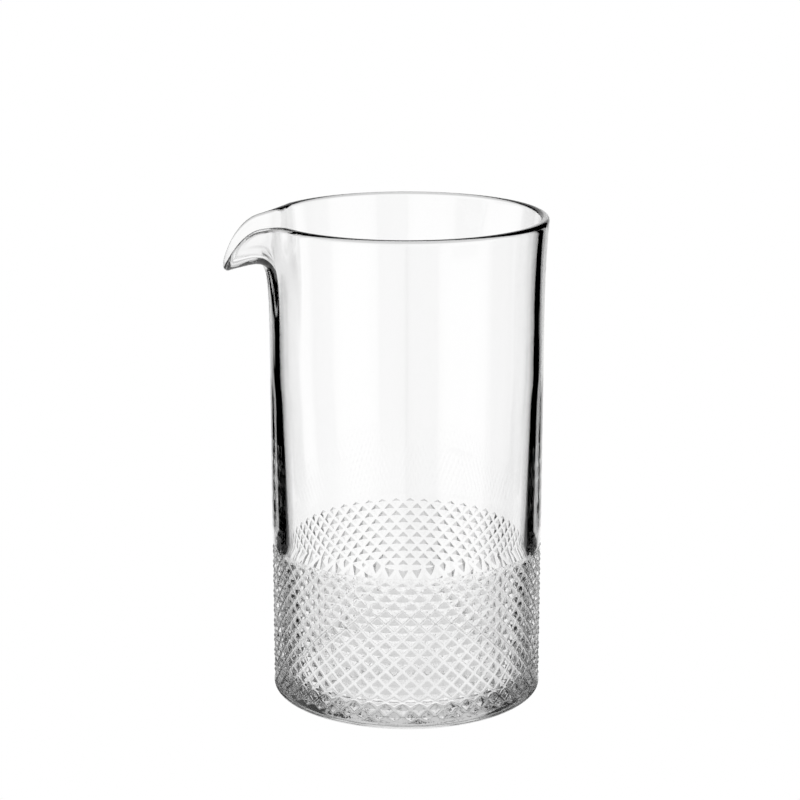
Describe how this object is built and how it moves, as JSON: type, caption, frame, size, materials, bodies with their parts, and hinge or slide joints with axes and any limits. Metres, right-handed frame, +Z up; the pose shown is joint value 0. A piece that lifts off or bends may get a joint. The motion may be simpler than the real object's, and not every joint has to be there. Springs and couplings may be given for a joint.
{
  "type": "mixing glass",
  "caption": "Straight-sided crystal mixing glass with a drawn pouring lip, a cut-diamond band round its lower third and a thick solid foot.",
  "frame": {"origin": "centre of the flat underside, on the glass's axis", "axes": "+Z up along the axis, the pouring lip points along -X, Y is to the sides"},
  "size_m": [0.1057, 0.0922, 0.16],
  "materials": {
    "crystal": "clear lead-free crystal, fire-polished wall and rim, cut and acid-polished diamonds"
  },
  "bodies": {
    "root": {"foot": "crystal", "cut_band": "crystal", "wall": "crystal", "pouring_lip": "crystal"}
  },
  "joints": []
}
